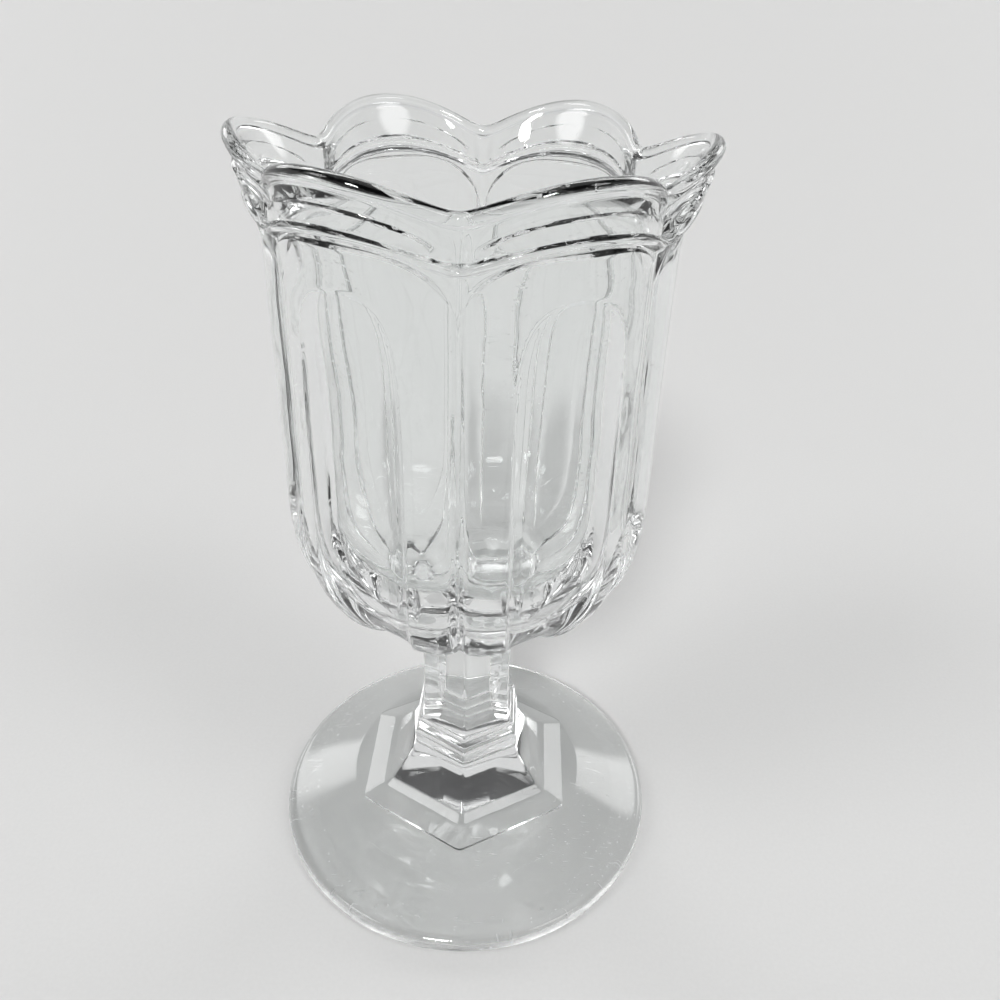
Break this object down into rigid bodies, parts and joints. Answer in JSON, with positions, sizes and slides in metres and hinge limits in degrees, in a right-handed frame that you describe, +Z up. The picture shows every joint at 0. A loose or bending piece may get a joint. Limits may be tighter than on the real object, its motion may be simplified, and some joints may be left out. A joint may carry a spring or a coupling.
{
  "type": "celery vase",
  "caption": "Footed celery vase of clear pressed glass: tall fluted bowl with a flaring scalloped rim, on a faceted stem, coved plinth and round foot.",
  "frame": {"origin": "centre of the foot's standing ring, on the surface the vase stands on", "axes": "+Z up along the vase's axis, -Y towards the viewer through a crease of the bowl and a ridge of the stem, +X to the viewer's right"},
  "size_m": [0.112, 0.112, 0.2],
  "materials": {
    "clear_glass": "clear, fire-polished pressed glass with fine wear"
  },
  "bodies": {
    "root": {"bowl": "clear_glass", "stem": "clear_glass", "plinth": "clear_glass", "foot": "clear_glass"}
  },
  "joints": []
}
